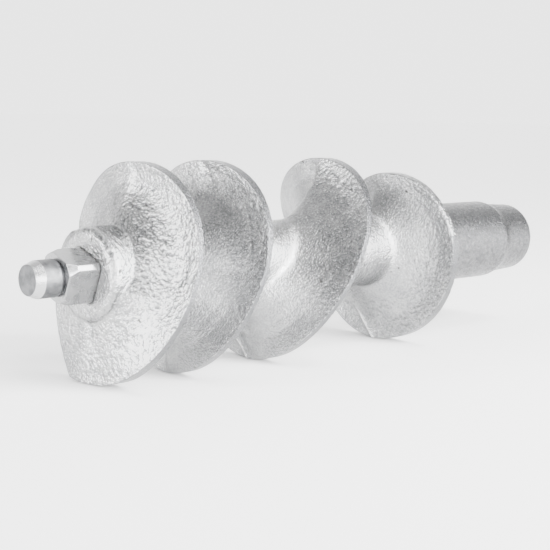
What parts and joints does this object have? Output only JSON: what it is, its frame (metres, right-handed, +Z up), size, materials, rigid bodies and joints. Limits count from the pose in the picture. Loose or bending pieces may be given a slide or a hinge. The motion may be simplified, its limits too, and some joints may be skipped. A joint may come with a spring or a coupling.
{
  "type": "feed screw",
  "caption": "Cast feed screw of a hand meat mincer with a variable-pitch flight, knife square, plate pin and rear journal.",
  "frame": {"origin": "centre of the shoulder between the rear journal and the drive end, on the axis of the screw", "axes": "+X along the axis towards the discharge end with the plate pin, +Z up, the mould parts at the vertical plane through the axis"},
  "size_m": [0.243, 0.0706, 0.0704],
  "materials": {
    "tinned_iron": "tinned, rough as cast, with turned and milled areas",
    "turned_steel": "turned"
  },
  "bodies": {
    "screw": {"worm_casting": "tinned_iron", "plate_pin": "turned_steel"}
  },
  "joints": []
}
